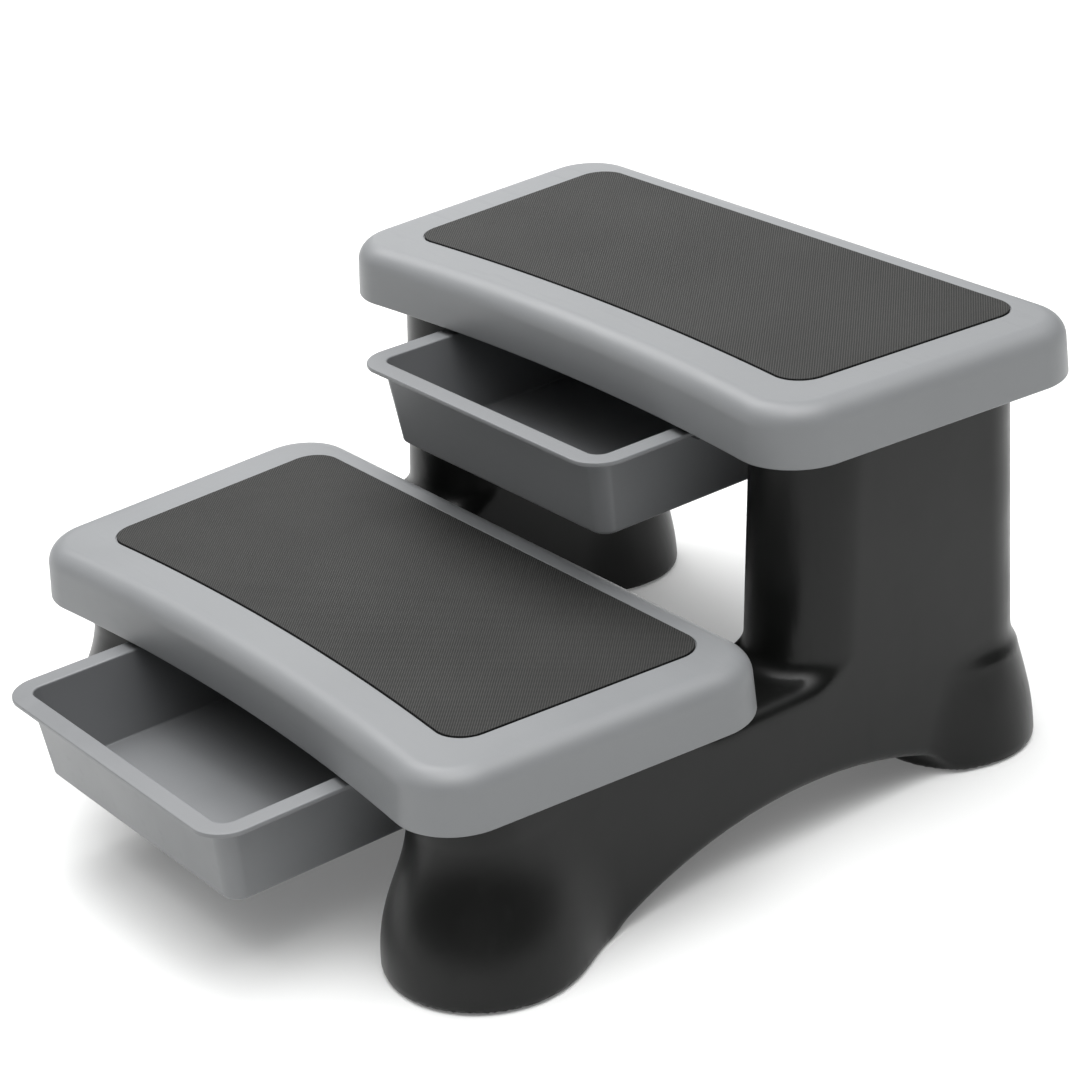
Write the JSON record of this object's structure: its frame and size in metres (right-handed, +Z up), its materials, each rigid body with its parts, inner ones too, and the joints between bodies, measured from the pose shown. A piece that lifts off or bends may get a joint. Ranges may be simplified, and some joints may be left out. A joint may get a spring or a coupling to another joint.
{
  "type": "spa steps",
  "caption": "Wide moulded spa steps: treads with anti-slip mats on arched side frames, and a pull-out drawer under each tread.",
  "frame": {"origin": "on the floor, in the middle of the object's width and of its length with the drawers as drawn, part open", "axes": "+X to the right as a person climbs, +Y from the lower tread to the upper tread, +Z up"},
  "size_m": [0.6952, 0.834, 0.415],
  "materials": {
    "frame": "satin",
    "tread": "satin",
    "mat": "matte, fine woven emboss",
    "lower_drawer": "satin",
    "upper_drawer": "satin",
    "rail": "satin",
    "fastener": "satin",
    "insert": "satin",
    "pad": "matte"
  },
  "bodies": {
    "steps": {"left_frame": "frame", "right_frame": "frame", "lower_tread": "tread", "upper_tread": "tread", "lower_mat": "mat", "upper_mat": "mat", "lower_left_rail": "rail", "lower_right_rail": "rail", "upper_left_rail": "rail", "upper_right_rail": "rail", "lower_tread_screws": "fastener", "upper_tread_screws": "fastener", "lower_tread_washers": "fastener", "upper_tread_washers": "fastener", "left_frame_inserts": "insert", "right_frame_inserts": "insert", "lower_rail_screws": "fastener", "upper_rail_screws": "fastener", "left_front_pad": "pad", "left_rear_pad": "pad", "right_front_pad": "pad", "right_rear_pad": "pad"},
    "lower_drawer": {"lower_drawer": "lower_drawer"},
    "upper_drawer": {"upper_drawer": "upper_drawer"}
  },
  "joints": [
    {"name": "lower_drawer_slide", "type": "slide", "parent": "steps", "child": "lower_drawer", "axis": [0, -1, 0], "range_m": [-0.132, 0.09]},
    {"name": "upper_drawer_slide", "type": "slide", "parent": "steps", "child": "upper_drawer", "axis": [0, -1, 0], "range_m": [-0.102, 0.12]}
  ]
}
